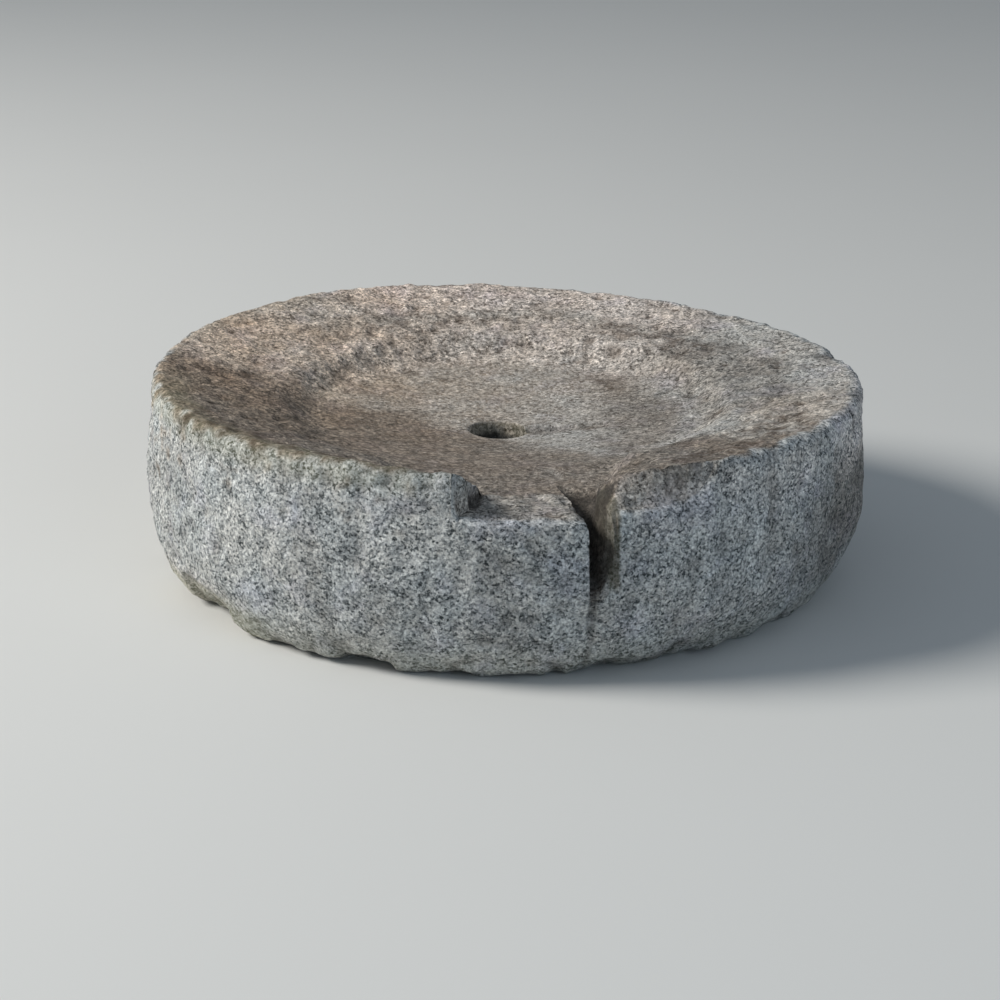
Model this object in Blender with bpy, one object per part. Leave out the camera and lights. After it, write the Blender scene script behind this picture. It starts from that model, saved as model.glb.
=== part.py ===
"""Lower stone of a rotary quern, cut from one block of granite.

A thick round stone with a raised rim, a dished grinding bed, a spindle socket in the middle and a
pouring slot cut down through the rim. The rim is broken away on one side of the slot and chipped on
the other, and the foot is rounded and flaked.

Metres, +Z up. The underside lies on Z = 0 and the origin is under the middle of the stone's outline.
Azimuths are in degrees from +X towards +Y, and the slot opens towards -Y. In a cutter's own frame
X runs outwards from the stone's axis, Y to the right as seen from outside, and Z up.
"""

import math

import bmesh
import bpy

# The stone as a whole
STONE_RADIUS = 0.304  # the wall at its widest, before the waves in it
RIM_HEIGHT = 0.167  # underside to the top of the rim, as cut
FOOT_INSET = 0.039  # how far the rounded foot draws in
FOOT_HEIGHT = 0.079  # height at which that rounding begins
WALL_LEAN = 0.004  # how far the wall leans in from there up to the rim
ARRIS_RADIUS = 0.010  # the worn outer edge of the rim

# The hollow inside the rim. Depths are measured down from the top of the rim.
RIM_WIDTH = 0.104  # from the wall to the inner end of the sloping rim
RIM_INNER_DEPTH = 0.019
STEP_WIDTH = 0.040  # from there to the outer end of the grinding bed
BED_EDGE_DEPTH = 0.037
BED_MIDDLE_DEPTH = 0.054

# Where the bed was worn out towards the slot
RUN_AZIMUTH = -89.0
RUN_HALF_ANGLE = 32.0
RUN_FLAT_SHARE = 0.45  # share of that angle over which the wear is full
RUN_REACH = 0.060  # how much further out the bed reaches there

# The spindle socket, and the shallow seat cut beside it
SOCKET_X = -0.008
SOCKET_Y = -0.003
SOCKET_RADIUS = 0.025
SOCKET_FLOOR_RADIUS = 0.019
SOCKET_DEPTH = 0.060
SEAT_LENGTH = 0.094  # from the socket's middle to the seat's narrow end
SEAT_WIDTH = 0.026
SEAT_END_WIDTH = 0.012
SEAT_DEPTH = 0.006
SEAT_END_DEPTH = 0.002
SEAT_AZIMUTH = 1.0

# The pouring slot
SLOT_AZIMUTH = -76.0
SLOT_WIDTH = 0.021
SLOT_FLOOR_WIDTH = 0.006
SLOT_MOUTH_HEIGHT = 0.071  # floor of the slot at the wall, above the underside
SLOT_LENGTH = 0.099  # from the wall inwards to where the floor meets the bed
SLOT_CURVE_HEIGHT = 0.040  # height over which the right cheek curves in to the floor
SLOT_MOUTH_ROUND = 0.009  # rounding of the right cheek's edge at the wall
FUNNEL_INSET = 0.038  # further in from the wall than this, the slot opens out
FUNNEL_LEFT = 0.003
FUNNEL_RIGHT = 0.030

# The rim broken away to the left of the slot
BREAK_WIDTH = 0.143  # from the slot's middle to the broken end of the rim, at the full radius
BREAK_CORNER_WIDTH = 0.088  # at the corner in the broken end
BREAK_CORNER_INSET = 0.037  # that corner, in from the wall
BREAK_INNER_WIDTH = 0.030  # where the break runs out in the bed
BREAK_INNER_INSET = 0.169  # and how far in from the wall that is
BREAK_DEPTH = 0.031  # below the rim at the wall
BREAK_INNER_DEPTH = 0.040  # below the rim where it runs out in the bed
BREAK_TWIST = 0.004  # how much higher the break is at the standing end

# The rim chipped to the right of the slot
CHIP_LENGTH = 0.086  # from the slot's middle, across
CHIP_END_LENGTH = 0.014  # over which the chip runs out beyond that
CHIP_RIDGE_INSET = 0.025  # its upper edge, in from the wall
CHIP_SLOT_DEPTH = 0.011  # its upper edge below the rim, at the slot
CHIP_END_DEPTH = 0.001  # and at its far end
CHIP_WALL_DEPTH = 0.036  # its lower edge below the rim

# Waves in the height of the rim: waves round the stone, height, azimuth of a crest
RIM_RISE = 0.001
RIM_WAVES = ((1, 0.0050, 188.0), (2, 0.0018, -55.0), (3, 0.0012, 0.0))
# Waves in the outline, as shares of the radius: waves round the stone, share, azimuth of a crest
PLAN_WAVES = ((1, 0.0033, 111.0), (2, 0.0050, 49.0), (3, 0.0016, 20.0), (5, 0.0012, 75.0))
# Waves in how far the foot draws in: waves round the stone, length, azimuth of a crest
FOOT_WAVES = ((2, 0.0070, -45.0),)
# Lumps left in the wall by the pick: waves round, waves up the wall, height, azimuth of a crest
WALL_LUMPS = ((7, 1.0, 0.0011, 10.0), (11, 1.6, 0.0009, 47.0), (17, 2.3, 0.0007, 4.0))

# Flakes struck off the foot: azimuth, width, height up the wall, depth into the stone
FOOT_FLAKES = (
    (-147.0, 0.090, 0.042, 0.010),
    (-77.0, 0.080, 0.016, 0.009),
    (-62.0, 0.085, 0.026, 0.013),
    (-50.0, 0.060, 0.020, 0.009),
    (-36.0, 0.050, 0.018, 0.008),
    (-112.0, 0.050, 0.010, 0.004),
    (24.0, 0.100, 0.036, 0.014),
    (78.0, 0.080, 0.026, 0.012),
    (128.0, 0.120, 0.040, 0.014),
    (171.0, 0.070, 0.024, 0.010),
)
# Nicks in the outer edge of the rim: azimuth, width, depth down the wall, depth into the rim
RIM_NICKS = (
    (52.0, 0.050, 0.010, 0.007),
    (41.0, 0.034, 0.008, 0.006),
    (147.0, 0.060, 0.009, 0.006),
    (118.0, 0.040, 0.006, 0.005),
    (-118.0, 0.046, 0.008, 0.004),
)

RIM_INNER_RADIUS = STONE_RADIUS - RIM_WIDTH
BED_RADIUS = RIM_INNER_RADIUS - STEP_WIDTH

# How finely the stone is divided
COLUMNS = 128
FOOT_STEPS = 5
WALL_STEPS = 5
ARRIS_STEPS = 3
RIM_STEPS = 5
STEP_STEPS = 4
BED_STEPS = 6
FUNNEL_STEPS = 4
SOCKET_SIDES = 28
CUT_MARGIN = 0.030  # how far a cutter reaches past the stone

GRANITE_COLOUR = (0.30, 0.295, 0.28, 1.0)
GRANITE_ROUGHNESS = 0.88


def clear_scene():
    for obj in list(bpy.data.objects):
        bpy.data.objects.remove(obj, do_unlink=True)


def ease(share):
    """0 below 0, 1 above 1, and a smooth step in between."""
    share = min(1.0, max(0.0, share))
    return share * share * (3.0 - 2.0 * share)


def waves(table, azimuth):
    """The sum of cosine waves round the stone, each with its own crest."""
    return sum(size * math.cos(count * (azimuth - math.radians(crest))) for count, size, crest in table)


def run_share(azimuth):
    """1 in the middle of the run worn out towards the slot, fading to 0 at its sides."""
    turn = (math.degrees(azimuth) - RUN_AZIMUTH + 180.0) % 360.0 - 180.0
    return ease((1.0 - abs(turn) / RUN_HALF_ANGLE) / (1.0 - RUN_FLAT_SHARE))


def rim_height(azimuth):
    return RIM_HEIGHT + RIM_RISE + waves(RIM_WAVES, azimuth)


def wall_radius(azimuth):
    return STONE_RADIUS * (1.0 + waves(PLAN_WAVES, azimuth))


def lump(azimuth, height):
    """The pick's lumps at one place in the wall, gone at the foot and at the top of the rim."""
    up = height / RIM_HEIGHT
    rough = sum(
        size * math.cos(count * (azimuth - math.radians(crest)) + 2.0 * math.pi * rise * up)
        for count, rise, size, crest in WALL_LUMPS
    )
    return rough * math.sin(math.pi * min(1.0, max(0.0, up)))


def bed_height(radius):
    """The dished bed: lowest in the middle, and level beyond its edge."""
    out = min(1.0, radius / BED_RADIUS)
    return RIM_HEIGHT - BED_MIDDLE_DEPTH + (BED_MIDDLE_DEPTH - BED_EDGE_DEPTH) * out**1.5


def profile(azimuth):
    """(radius, height) pairs from the edge of the underside, up the wall, over the rim and in to the bed."""
    wall = wall_radius(azimuth)
    top = rim_height(azimuth)
    shoulder = top - ARRIS_RADIUS
    inset = FOOT_INSET + waves(FOOT_WAVES, azimuth)
    points = []
    for i in range(FOOT_STEPS + 1):
        turn = 0.5 * math.pi * i / FOOT_STEPS
        points.append((wall - inset * (1.0 - math.sin(turn)), FOOT_HEIGHT * (1.0 - math.cos(turn))))
    for i in range(1, WALL_STEPS + 1):
        up = i / WALL_STEPS
        points.append((wall - WALL_LEAN * up * up, FOOT_HEIGHT + (shoulder - FOOT_HEIGHT) * up))
    points = [(radius + lump(azimuth, height), height) for radius, height in points]

    edge = points[-1][0] - ARRIS_RADIUS
    for i in range(1, ARRIS_STEPS + 1):
        turn = 0.5 * math.pi * i / ARRIS_STEPS
        points.append((edge + ARRIS_RADIUS * math.cos(turn), shoulder + ARRIS_RADIUS * math.sin(turn)))

    run = run_share(azimuth)
    rim_end = RIM_INNER_RADIUS + RUN_REACH * run
    bed_end = BED_RADIUS + RUN_REACH * run
    rim_low = RIM_HEIGHT - RIM_INNER_DEPTH
    for i in range(1, RIM_STEPS + 1):
        along = i / RIM_STEPS
        points.append((edge + (rim_end - edge) * along, top + (rim_low - top) * along))
    for i in range(1, STEP_STEPS + 1):
        along = i / STEP_STEPS
        height = rim_low + (bed_height(BED_RADIUS) - rim_low) * ease(along)
        points.append((rim_end + (bed_end - rim_end) * along, height))
    for i in range(1, BED_STEPS):
        radius = BED_RADIUS * (1.0 - i / BED_STEPS)
        points.append((radius, bed_height(radius)))
    return points


def new_object(name, mesh, axis, azimuth=0.0, place=(0.0, 0.0)):
    """An object of that mesh on the stone's axis, turned to that azimuth and set at that place in plan."""
    obj = bpy.data.objects.new(name, mesh)
    obj.parent = axis
    obj.location = (place[0], place[1], 0.0)
    obj.rotation_euler.z = math.radians(azimuth)
    bpy.context.scene.collection.objects.link(obj)
    return obj


def stone_axis(mesh):
    """An empty on the stone's axis, placed so that the outline's middle falls on the origin."""
    axis = bpy.data.objects.new("stone_axis", None)
    across = [vertex.co.x for vertex in mesh.vertices]
    along = [vertex.co.y for vertex in mesh.vertices]
    axis.location = (-0.5 * (min(across) + max(across)), -0.5 * (min(along) + max(along)), 0.0)
    bpy.context.scene.collection.objects.link(axis)
    return axis


def skin_loops(loops):
    """A mesh skinned over rings of points with equal counts, and closed at both ends."""
    bm = bmesh.new()
    rings = [[bm.verts.new(point) for point in loop] for loop in loops]
    count = len(rings[0])
    for lower, upper in zip(rings, rings[1:]):
        for i in range(count):
            j = (i + 1) % count
            bm.faces.new((lower[i], lower[j], upper[j], upper[i]))
    bm.faces.new(rings[0][::-1])
    bm.faces.new(rings[-1])
    bmesh.ops.recalc_face_normals(bm, faces=bm.faces)
    mesh = bpy.data.meshes.new("skin")
    bm.to_mesh(mesh)
    bm.free()
    return mesh


def turned_stone():
    """The whole stone before anything is cut into it, skinned over rings of one height or radius each."""
    azimuths = [2.0 * math.pi * column / COLUMNS for column in range(COLUMNS)]
    columns = [profile(azimuth) for azimuth in azimuths]
    rings = []
    for row in range(len(columns[0])):
        ring = []
        for azimuth, column in zip(azimuths, columns):
            radius, height = column[row]
            ring.append((radius * math.cos(azimuth), radius * math.sin(azimuth), height))
        rings.append(ring)
    return skin_loops(rings)


def slot_loops():
    """Cross-sections of the slot, from the bed out past the wall. The right cheek curves in to the floor."""
    top = RIM_HEIGHT + CUT_MARGIN
    bed = bed_height(BED_RADIUS)
    fall = (bed - SLOT_MOUTH_HEIGHT) / SLOT_LENGTH
    inner = STONE_RADIUS - SLOT_LENGTH
    funnel = SLOT_LENGTH - FUNNEL_INSET
    radii = [inner - CUT_MARGIN]
    radii += [inner + funnel * i / FUNNEL_STEPS for i in range(FUNNEL_STEPS + 1)]
    radii += [STONE_RADIUS - SLOT_MOUTH_ROUND * share for share in (1.5, 0.9, 0.4, 0.0)]
    radii.append(STONE_RADIUS + CUT_MARGIN)
    loops = []
    for radius in radii:
        floor = bed - fall * (radius - inner)
        open_out = 1.0 - ease((radius - inner) / funnel)
        near_wall = min(1.0, max(0.0, 1.0 - (STONE_RADIUS - radius) / (1.5 * SLOT_MOUTH_ROUND)))
        left = -0.5 * SLOT_WIDTH - FUNNEL_LEFT * open_out
        right = 0.5 * SLOT_WIDTH + FUNNEL_RIGHT * open_out + SLOT_MOUTH_ROUND * near_wall**2
        floor_right = left + SLOT_FLOOR_WIDTH * (1.0 + open_out)
        loop = [(radius, left, top), (radius, left, floor)]
        for i in range(5):
            turn = 0.5 * math.pi * i / 4
            across = floor_right + (right - floor_right) * math.sin(turn)
            loop.append((radius, across, floor + SLOT_CURVE_HEIGHT * (1.0 - math.cos(turn))))
        loop.append((radius, right, top))
        loops.append(loop)
    return loops


def break_loops():
    """The broken rim left of the slot: a sloping floor that runs out in the bed, and an end with one corner."""
    top = RIM_HEIGHT + CUT_MARGIN
    slant = (BREAK_WIDTH - BREAK_CORNER_WIDTH) / BREAK_CORNER_INSET
    ends = (
        (BREAK_INNER_INSET, BREAK_INNER_WIDTH),
        (BREAK_CORNER_INSET, BREAK_CORNER_WIDTH),
        (0.0, BREAK_WIDTH),
        (-CUT_MARGIN, BREAK_WIDTH + slant * CUT_MARGIN),
    )
    loops = []
    for inset, width in ends:
        radius = STONE_RADIUS - inset
        inwards = inset / BREAK_INNER_INSET
        floor = RIM_HEIGHT - BREAK_DEPTH - (BREAK_INNER_DEPTH - BREAK_DEPTH) * inwards
        far_floor = floor + BREAK_TWIST
        loops.append([(radius, 0.0, floor), (radius, -width, far_floor), (radius, -width, top), (radius, 0.0, top)])
    return loops


def chip_loops():
    """The chip right of the slot: a bevel between a ridge on the rim and an edge on the wall, which starts
    inside the slot, follows the wall and runs out at its far end."""
    lower_height = RIM_HEIGHT - CHIP_WALL_DEPTH
    loops = []
    for share, gone in ((0.0, 0.0), (0.3, 0.0), (0.65, 0.0), (1.0, 0.0), (1.0, 0.4), (1.0, 1.0)):
        across = CHIP_LENGTH * share + CHIP_END_LENGTH * gone
        ridge = math.sqrt((STONE_RADIUS - CHIP_RIDGE_INSET) ** 2 - across**2)
        wall = math.sqrt(STONE_RADIUS**2 - across**2)
        ridge_height = RIM_HEIGHT - CHIP_SLOT_DEPTH + (CHIP_SLOT_DEPTH - CHIP_END_DEPTH) * share
        away = (wall - ridge) * gone
        out = wall - ridge
        drop = ridge_height - lower_height
        start = (ridge - out + away, across, ridge_height + drop)
        stop = (wall + out + away, across, lower_height - drop)
        loops.append([start, stop, (stop[0] + CUT_MARGIN, across, start[2])])
    return loops


def nick_loops(width, upper, lower):
    """A wedge that takes off the stone outside the sloping line from upper to lower, both (radius, height).
    Its ends draw out, so that the nick fades out sideways."""
    slope_out = (lower[0] - upper[0], lower[1] - upper[1])
    start = (upper[0] - slope_out[0], upper[1] - slope_out[1])
    stop = (lower[0] + slope_out[0], lower[1] + slope_out[1])
    outside = (stop[0] + CUT_MARGIN, start[1])
    loops = []
    for share, back in ((-0.5, 1.0), (-0.28, 0.25), (0.0, 0.0), (0.28, 0.25), (0.5, 1.0)):
        across = share * width
        curve = STONE_RADIUS - math.sqrt(STONE_RADIUS**2 - across**2)
        away = back * slope_out[0] - curve
        loops.append([(x + away, across, z) for x, z in (start, stop, outside)])
    return loops


def flake_loops(width, height, depth):
    """A flake off the foot, whose scar runs from under the stone up to the wall."""
    foot = STONE_RADIUS - FOOT_INSET
    share = min(1.0, height / FOOT_HEIGHT)
    wall = foot + FOOT_INSET * math.sqrt(1.0 - (1.0 - share) ** 2)
    inner = (foot - depth, -CUT_MARGIN)
    upper = (wall, height)
    loops = []
    for across, back in ((-0.5, 1.0), (-0.25, 0.3), (0.0, 0.0), (0.25, 0.3), (0.5, 1.0)):
        lateral = across * width
        curve = STONE_RADIUS - math.sqrt(STONE_RADIUS**2 - lateral**2)
        out = back * depth - curve
        middle = (0.5 * (foot - depth + wall) + out, 0.28 * height)
        loops.append(
            [
                (inner[0] + out, lateral, inner[1]),
                (foot - 0.5 * depth + out, lateral, 0.0),
                (middle[0], lateral, middle[1]),
                (upper[0] + CUT_MARGIN, lateral, upper[1] + CUT_MARGIN * 0.5),
                (upper[0] + 2.0 * CUT_MARGIN, lateral, inner[1]),
            ]
        )
    return loops


def socket_loops():
    """The spindle socket, a little narrower at its floor."""
    bed = bed_height(0.0)
    widen = (SOCKET_RADIUS - SOCKET_FLOOR_RADIUS) / SOCKET_DEPTH
    loops = []
    for height in (bed - SOCKET_DEPTH, bed + CUT_MARGIN):
        radius = SOCKET_RADIUS + widen * (height - bed)
        turns = [2.0 * math.pi * i / SOCKET_SIDES for i in range(SOCKET_SIDES)]
        loops.append([(radius * math.cos(turn), radius * math.sin(turn), height) for turn in turns])
    return loops


def seat_loops():
    """The shallow seat beside the socket, narrower and shallower at its far end."""
    top = bed_height(BED_RADIUS) + CUT_MARGIN
    ends = (
        (0.0, SEAT_WIDTH, bed_height(0.0) - SEAT_DEPTH),
        (SEAT_LENGTH, SEAT_END_WIDTH, bed_height(SEAT_LENGTH) - SEAT_END_DEPTH),
    )
    loops = []
    for radius, width, floor in ends:
        half = 0.5 * width
        loops.append([(radius, -half, floor), (radius, half, floor), (radius, half, top), (radius, -half, top)])
    return loops


def granite():
    material = bpy.data.materials.new("granite")
    material.use_nodes = True
    shader = material.node_tree.nodes["Principled BSDF"]
    shader.inputs["Base Color"].default_value = GRANITE_COLOUR
    shader.inputs["Roughness"].default_value = GRANITE_ROUGHNESS
    shader.inputs["Metallic"].default_value = 0.0
    return material


def cut(stone, name, loops, azimuth, place=(0.0, 0.0)):
    """Cuts the shape skinned over those loops out of the stone."""
    cutter = new_object(name, skin_loops(loops), stone.parent, azimuth, place)
    cutter.hide_render = True
    cutter.display_type = "WIRE"
    modifier = stone.modifiers.new(name, "BOOLEAN")
    modifier.operation = "DIFFERENCE"
    modifier.solver = "EXACT"
    modifier.object = cutter


def cut_everything(stone):
    cut(stone, "broken_rim", break_loops(), SLOT_AZIMUTH)
    cut(stone, "chipped_rim", chip_loops(), SLOT_AZIMUTH)
    cut(stone, "slot", slot_loops(), SLOT_AZIMUTH)
    cut(stone, "socket", socket_loops(), 0.0, (SOCKET_X, SOCKET_Y))
    cut(stone, "seat", seat_loops(), SEAT_AZIMUTH, (SOCKET_X, SOCKET_Y))
    for number, (azimuth, width, height, depth) in enumerate(FOOT_FLAKES, 1):
        cut(stone, f"foot_flake_{number}", flake_loops(width, height, depth), azimuth)
    for number, (azimuth, width, drop, depth) in enumerate(RIM_NICKS, 1):
        top = rim_height(math.radians(azimuth))
        upper = (STONE_RADIUS - WALL_LEAN - depth, top)
        lower = (STONE_RADIUS - WALL_LEAN, top - drop)
        cut(stone, f"rim_nick_{number}", nick_loops(width, upper, lower), azimuth)


def main():
    clear_scene()
    mesh = turned_stone()
    stone = new_object("quern_lower_stone", mesh, stone_axis(mesh))
    stone.data.materials.append(granite())
    cut_everything(stone)


main()
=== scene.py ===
"""The looks of a rotary quern's lower stone, cut from one block of weathered granite.

The stone is one surface worked out with numpy from the sizes below, and it stands for the plain CAD
solid. Lengths are in metres. Azimuths are in degrees from +X towards +Y about the stone's axis.
"""

import math

import bpy
import numpy as np
from bpy.props import FloatProperty, FloatVectorProperty, PointerProperty, StringProperty
from mathutils import Matrix, Vector


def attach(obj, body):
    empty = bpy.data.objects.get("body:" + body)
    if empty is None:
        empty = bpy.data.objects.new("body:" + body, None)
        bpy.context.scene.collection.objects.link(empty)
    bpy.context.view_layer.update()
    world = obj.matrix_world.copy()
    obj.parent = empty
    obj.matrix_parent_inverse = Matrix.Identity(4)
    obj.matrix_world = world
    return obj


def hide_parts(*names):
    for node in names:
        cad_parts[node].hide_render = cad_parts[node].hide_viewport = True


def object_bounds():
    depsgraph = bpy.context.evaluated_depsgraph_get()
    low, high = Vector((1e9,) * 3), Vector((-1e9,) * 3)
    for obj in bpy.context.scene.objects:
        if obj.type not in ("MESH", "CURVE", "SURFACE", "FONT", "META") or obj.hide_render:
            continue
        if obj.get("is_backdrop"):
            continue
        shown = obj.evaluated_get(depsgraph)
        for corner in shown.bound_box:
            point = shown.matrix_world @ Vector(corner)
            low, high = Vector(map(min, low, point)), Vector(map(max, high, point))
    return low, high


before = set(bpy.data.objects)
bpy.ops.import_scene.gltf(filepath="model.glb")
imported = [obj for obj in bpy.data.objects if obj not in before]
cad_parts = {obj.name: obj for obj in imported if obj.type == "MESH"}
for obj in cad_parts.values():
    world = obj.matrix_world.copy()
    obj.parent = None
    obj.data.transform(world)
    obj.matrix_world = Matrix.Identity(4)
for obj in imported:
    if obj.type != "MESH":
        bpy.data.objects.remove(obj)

bl_info = {
    "name": "Quern lower stone",
    "version": (1, 0, 0),
    "blender": (4, 5, 0),
    "location": "3D View > Sidebar > Quern",
    "description": "Builds the granite lower stone of a rotary quern and a plain studio around it",
    "category": "Add Mesh",
}

NODE = "quern_lower_stone"
CAD_BOX = tuple(tuple(corner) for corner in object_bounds())
AXIS = (0.00043339, -0.00171754)  # the stone's own axis, in plan

# Waves in the stone, each with its number of waves round, its size and the azimuth of a crest
RIM_WAVES = ((1, 0.0050, 188.0), (2, 0.0018, -55.0), (3, 0.0012, 0.0))
PLAN_WAVES = ((1, 0.0033, 111.0), (2, 0.0050, 49.0), (3, 0.0016, 20.0), (5, 0.0012, 75.0))
FOOT_WAVES = ((2, 0.0070, -45.0),)
# Lumps in the wall: number round, twist up the wall, size, azimuth of a crest
WALL_LUMPS = ((7, 1.0, 0.0011, 10.0), (11, 1.6, 0.0009, 47.0), (17, 2.3, 0.0007, 4.0))
# Flakes off the foot: azimuth, width, height up the wall, depth into the stone
FOOT_FLAKES = (
    (-145.0, 0.070, 0.034, 0.006),
    (-73.5, 0.068, 0.020, 0.014),
    (-59.0, 0.062, 0.026, 0.016),
    (-48.0, 0.045, 0.022, 0.014),
    (-37.0, 0.050, 0.020, 0.012),
    (-112.0, 0.050, 0.010, 0.004),
    (24.0, 0.100, 0.036, 0.014),
    (78.0, 0.080, 0.026, 0.012),
    (128.0, 0.120, 0.040, 0.014),
    (171.0, 0.070, 0.024, 0.010),
)
RIM_DIP = (-97.0, 9.0, 0.003)  # azimuth, half its spread, depth
# Nicks in the rim's outer edge: azimuth, width, depth down the wall, depth into the rim
RIM_NICKS = (
    (52.0, 0.050, 0.010, 0.007),
    (41.0, 0.034, 0.008, 0.006),
    (147.0, 0.060, 0.009, 0.006),
    (118.0, 0.040, 0.006, 0.005),
    (-118.0, 0.046, 0.008, 0.004),
)

# Where the painted shadow of the left rim and the darker ground under dampness end: (x, y) in plan, from left
# to right
SHADE_AND_DAMP_LINE = (
    (-0.26, 0.0),
    (-0.16, -0.012),
    (-0.08, 0.012),
    (-0.05, -0.015),
    (-0.005, -0.060),
    (0.044, -0.092),
    (0.080, -0.125),
    (0.140, -0.150),
    (0.220, -0.170),
)

STEEP = 45.0  # rise of the upright faces of the cuts, for each metre across
UNCUT = 1.0  # height of a cut on the side of the stone that it doesn't reach, above all of the stone
BREAK_BEYOND = 0.02  # the break's first line is drawn this far past the wall
SHOULDER, SHOULDER_DROP = 0.009, 0.004  # rounded shoulder of the break at the slot: width and fall
# A flake's scar: how far it lies further out, in depths, at shares of its width from its middle
FLAKE_SHARES, FLAKE_BACKS = (0.0, 0.38, 0.47, 0.53, 0.6), (0.0, 0.12, 0.35, 1.3, 4.0)
NICK_SHARES, NICK_BACKS = (0.0, 0.28, 0.5, 0.75), (0.0, 0.25, 1.0, 4.0)
GUIDE_RADIUS = 0.150  # inside this radius the mesh's columns run straight in to the socket
SIDE_TURN = math.radians(58.0)  # the mesh's columns are bent no further than this from the slot
COLUMNS_AROUND = 440
# Columns from one guide to the next: to the broken end, up it, along the break, down the left cheek, over
# the floor, up the curved cheek, up the cheek above it, over its worn edge, along the chip, up its end, and
# on to the side
CUT_COLUMNS = (48, 10, 44, 20, 3, 16, 6, 8, 18, 7, 60)
CURVED_CHEEK = 5  # the number of its span in CUT_COLUMNS
FOOT_ROWS, WALL_ROWS, ARRIS_ROWS, TOP_ROWS = 32, 34, 5, 48
CLOSE_ROWS = 0.022  # the wall's rows close up in this height under a cut
# Rings of the underside from its edge to its middle: share of the edge's radius, and one point in how many
UNDER_RINGS = ((0.985, 1), (0.95, 2), (0.88, 2), (0.75, 4), (0.55, 4), (0.35, 8), (0.15, 8))


def length(name, default, description):
    return FloatProperty(name=name, description=description, default=default, unit="LENGTH", precision=4)


def angle(name, default, description):
    return FloatProperty(name=name, description=description + ", in degrees", default=default)


class QuernStoneSizes(bpy.types.PropertyGroup):
    """Sizes of the stone."""

    radius: length("Wall radius", 0.304, "The wall at its widest")
    rim_height: length("Rim height", 0.167, "From the underside to the rim")
    rim_rise: length("Rim rise", 0.001, "Mean of the rim's waves")
    foot_inset: length("Foot inset", 0.039, "How far the foot draws in")
    foot_height: length("Foot height", 0.079, "Height of the foot's curve")
    wall_lean: length("Wall lean", 0.004, "Lean of the wall, inwards at its top")
    arris: length("Arris", 0.009, "Worn outer edge of the rim")
    broken_arris: length("Broken arris", 0.0045, "Edge where the rim is broken")
    rim_width: length("Rim width", 0.104, "From the wall to the rim's inner end")
    rim_inner_depth: length("Rim inner depth", 0.019, "Fall of the rim to its inner end")
    step_width: length("Step width", 0.040, "From the rim's inner end to the bed")
    bed_edge_depth: length("Bed edge depth", 0.037, "From the rim down to the bed's edge")
    bed_depth: length("Bed depth", 0.054, "From the rim down to the bed's middle")
    run_azimuth: angle("Run azimuth", -89.0, "Middle of the run worn outwards")
    run_left_angle: angle("Run left angle", 46.0, "Spread of the run to the left")
    run_right_angle: angle("Run right angle", 32.0, "Spread to the right")
    run_flat: angle("Run flat angle", 14.4, "Fully worn to each side")
    run_reach: length("Run reach", 0.060, "How far the bed reaches out in the run")
    slope_azimuth: angle("Slope azimuth", -134.0, "Where the step is worn away")
    slope_half_angle: angle("Slope half angle", 30.0, "Half its spread")
    socket_place: FloatVectorProperty(
        name="Socket place", description="Middle of the socket in plan", size=2, default=(-0.008, -0.003)
    )
    socket_radius: length("Socket radius", 0.025, "At its mouth")
    socket_floor: length("Socket floor radius", 0.019, "At its floor")
    socket_depth: length("Socket depth", 0.060, "Below the bed's middle")
    seat_length: length("Seat length", 0.094, "From the middle of the socket")
    seat_width: length("Seat width", 0.026, "At the socket")
    seat_end_width: length("Seat end width", 0.012, "At its far end")
    seat_depth: length("Seat depth", 0.006, "At the socket")
    seat_end_depth: length("Seat end depth", 0.002, "At its far end")
    slot_azimuth: angle("Slot azimuth", -76.0, "Where the slot opens")
    slot_width: length("Slot width", 0.021, "Between its cheeks")
    slot_floor: length("Slot floor width", 0.003, "Flat of its floor")
    slot_mouth: length("Slot mouth height", 0.071, "Its floor at the wall")
    slot_length: length("Slot length", 0.099, "From the wall inwards")
    slot_curve: length("Slot curve height", 0.040, "Of the curved right cheek")
    slot_round: length("Slot rounding", 0.009, "Worn right edge, across and down")
    funnel_inset: length("Funnel inset", 0.038, "Where the slot starts to open out")
    funnel_left: length("Funnel left", 0.001, "How far it opens to the left")
    funnel_right: length("Funnel right", 0.030, "How far it opens to the right")
    break_width: length("Break width", 0.143, "Of the broken rim at the wall")
    break_corner: length("Break corner width", 0.098, "At its corner")
    break_corner_inset: length("Break corner inset", 0.037, "Its corner from the wall")
    break_inner: length("Break inner width", 0.030, "Where it runs out in the bed")
    break_inset: length("Break inset", 0.169, "Where it runs out, from the wall")
    break_depth: length("Break depth", 0.0335, "Below the rim at the wall")
    break_inner_depth: length("Break inner depth", 0.040, "Below the rim at the bed")
    break_twist: length("Break twist", 0.003, "Rise to its far end")
    chip_length: length("Chip length", 0.078, "Across from the slot")
    chip_end: length("Chip end", 0.034, "Length of its run-out")
    chip_inset: length("Chip inset", 0.020, "Its ridge from the wall, at the slot")
    chip_far_inset: length("Chip far inset", 0.009, "Its ridge from the wall, at its far end")
    chip_slot_depth: length("Chip slot depth", 0.013, "Its ridge at the slot")
    chip_end_depth: length("Chip end depth", 0.001, "Its ridge at its far end")
    chip_wall_depth: length("Chip wall depth", 0.033, "Its lower edge at the slot, below the rim")
    chip_far_depth: length("Chip far depth", 0.044, "Its lower edge at its far end")


def colour(name, default, description):
    return StringProperty(name=name, description=description + ", sRGB hex", default=default)


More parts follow.
